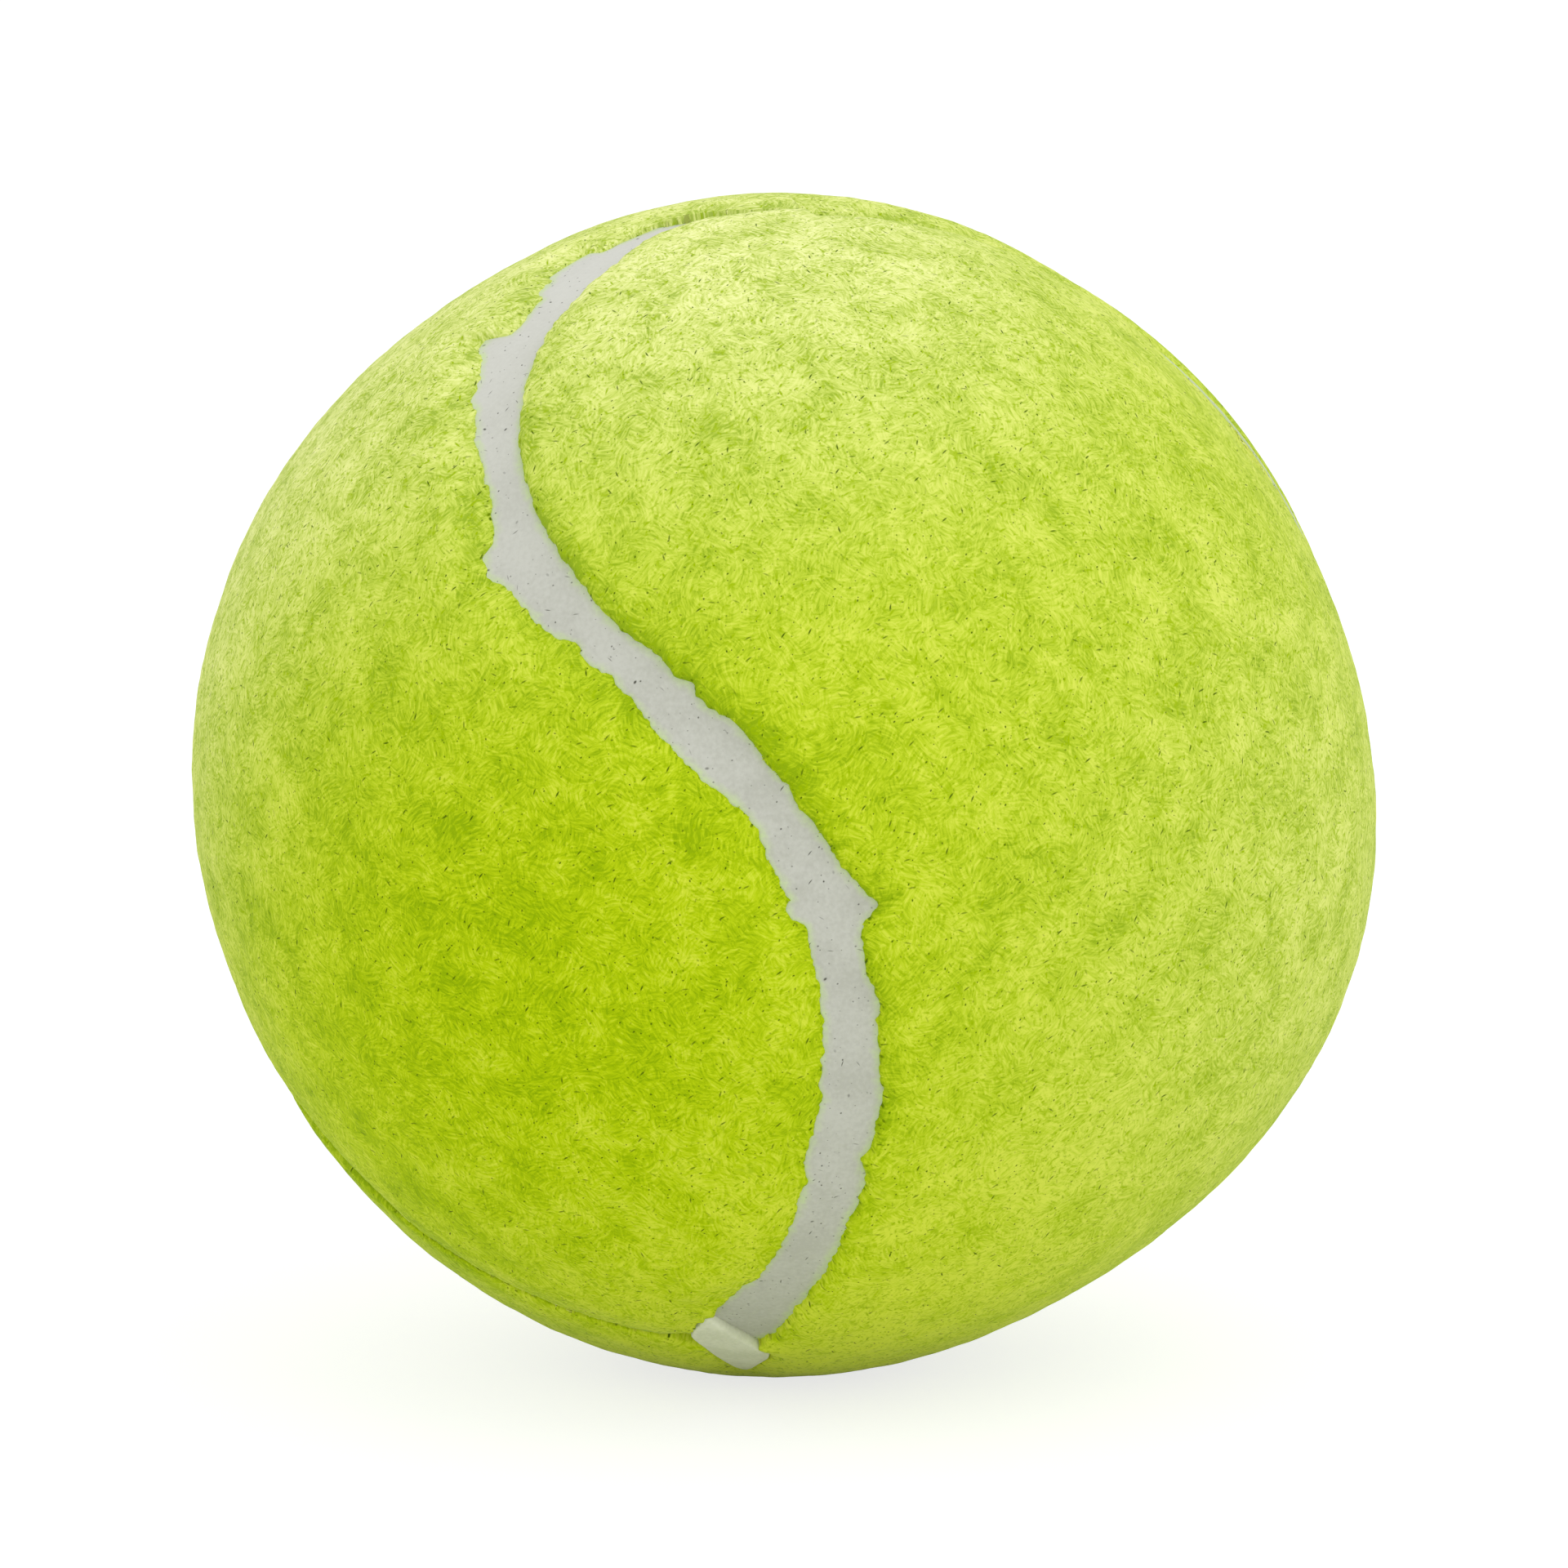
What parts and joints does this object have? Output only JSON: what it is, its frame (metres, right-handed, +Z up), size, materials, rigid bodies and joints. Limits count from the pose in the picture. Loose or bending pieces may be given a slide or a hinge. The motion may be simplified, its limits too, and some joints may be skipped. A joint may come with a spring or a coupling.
{
  "type": "tennis ball",
  "caption": "Hollow rubber ball in two cemented halves, covered by interlocking felt panels with a rubber seam between them.",
  "frame": {"origin": "centre of the ball", "axes": "+Z up, +X to the right and -Y towards the viewer, as the ball lies in the picture; the middle of the right panel is close to +X"},
  "size_m": [0.067, 0.067, 0.067],
  "materials": {
    "core_rubber": "matt moulded natural rubber, dark grey",
    "joint_cement": "satin dried rubber cement, near black",
    "cement_film": "thin glossy dried rubber cement, tan",
    "backing_cement": "dried rubber cement soaked into cloth, tan",
    "base_cloth": "plain woven cotton, unbleached",
    "felt_nap": "needled wool and nylon nap, optic yellow-green",
    "seam_rubber": "matt vulcanised rubber, pale grey",
    "lap_rubber": "matt vulcanised rubber, paler grey-green"
  },
  "bodies": {
    "root": {"core_lower_half": "core_rubber", "core_upper_half": "core_rubber", "core_joint_cement": "joint_cement", "core_cement_film": "cement_film", "right_panel_backing": "backing_cement", "right_panel_cloth": "base_cloth", "right_panel_nap": "felt_nap", "left_panel_backing": "backing_cement", "left_panel_cloth": "base_cloth", "left_panel_nap": "felt_nap", "seam_rubber": "seam_rubber", "seam_lap": "lap_rubber"}
  },
  "joints": []
}
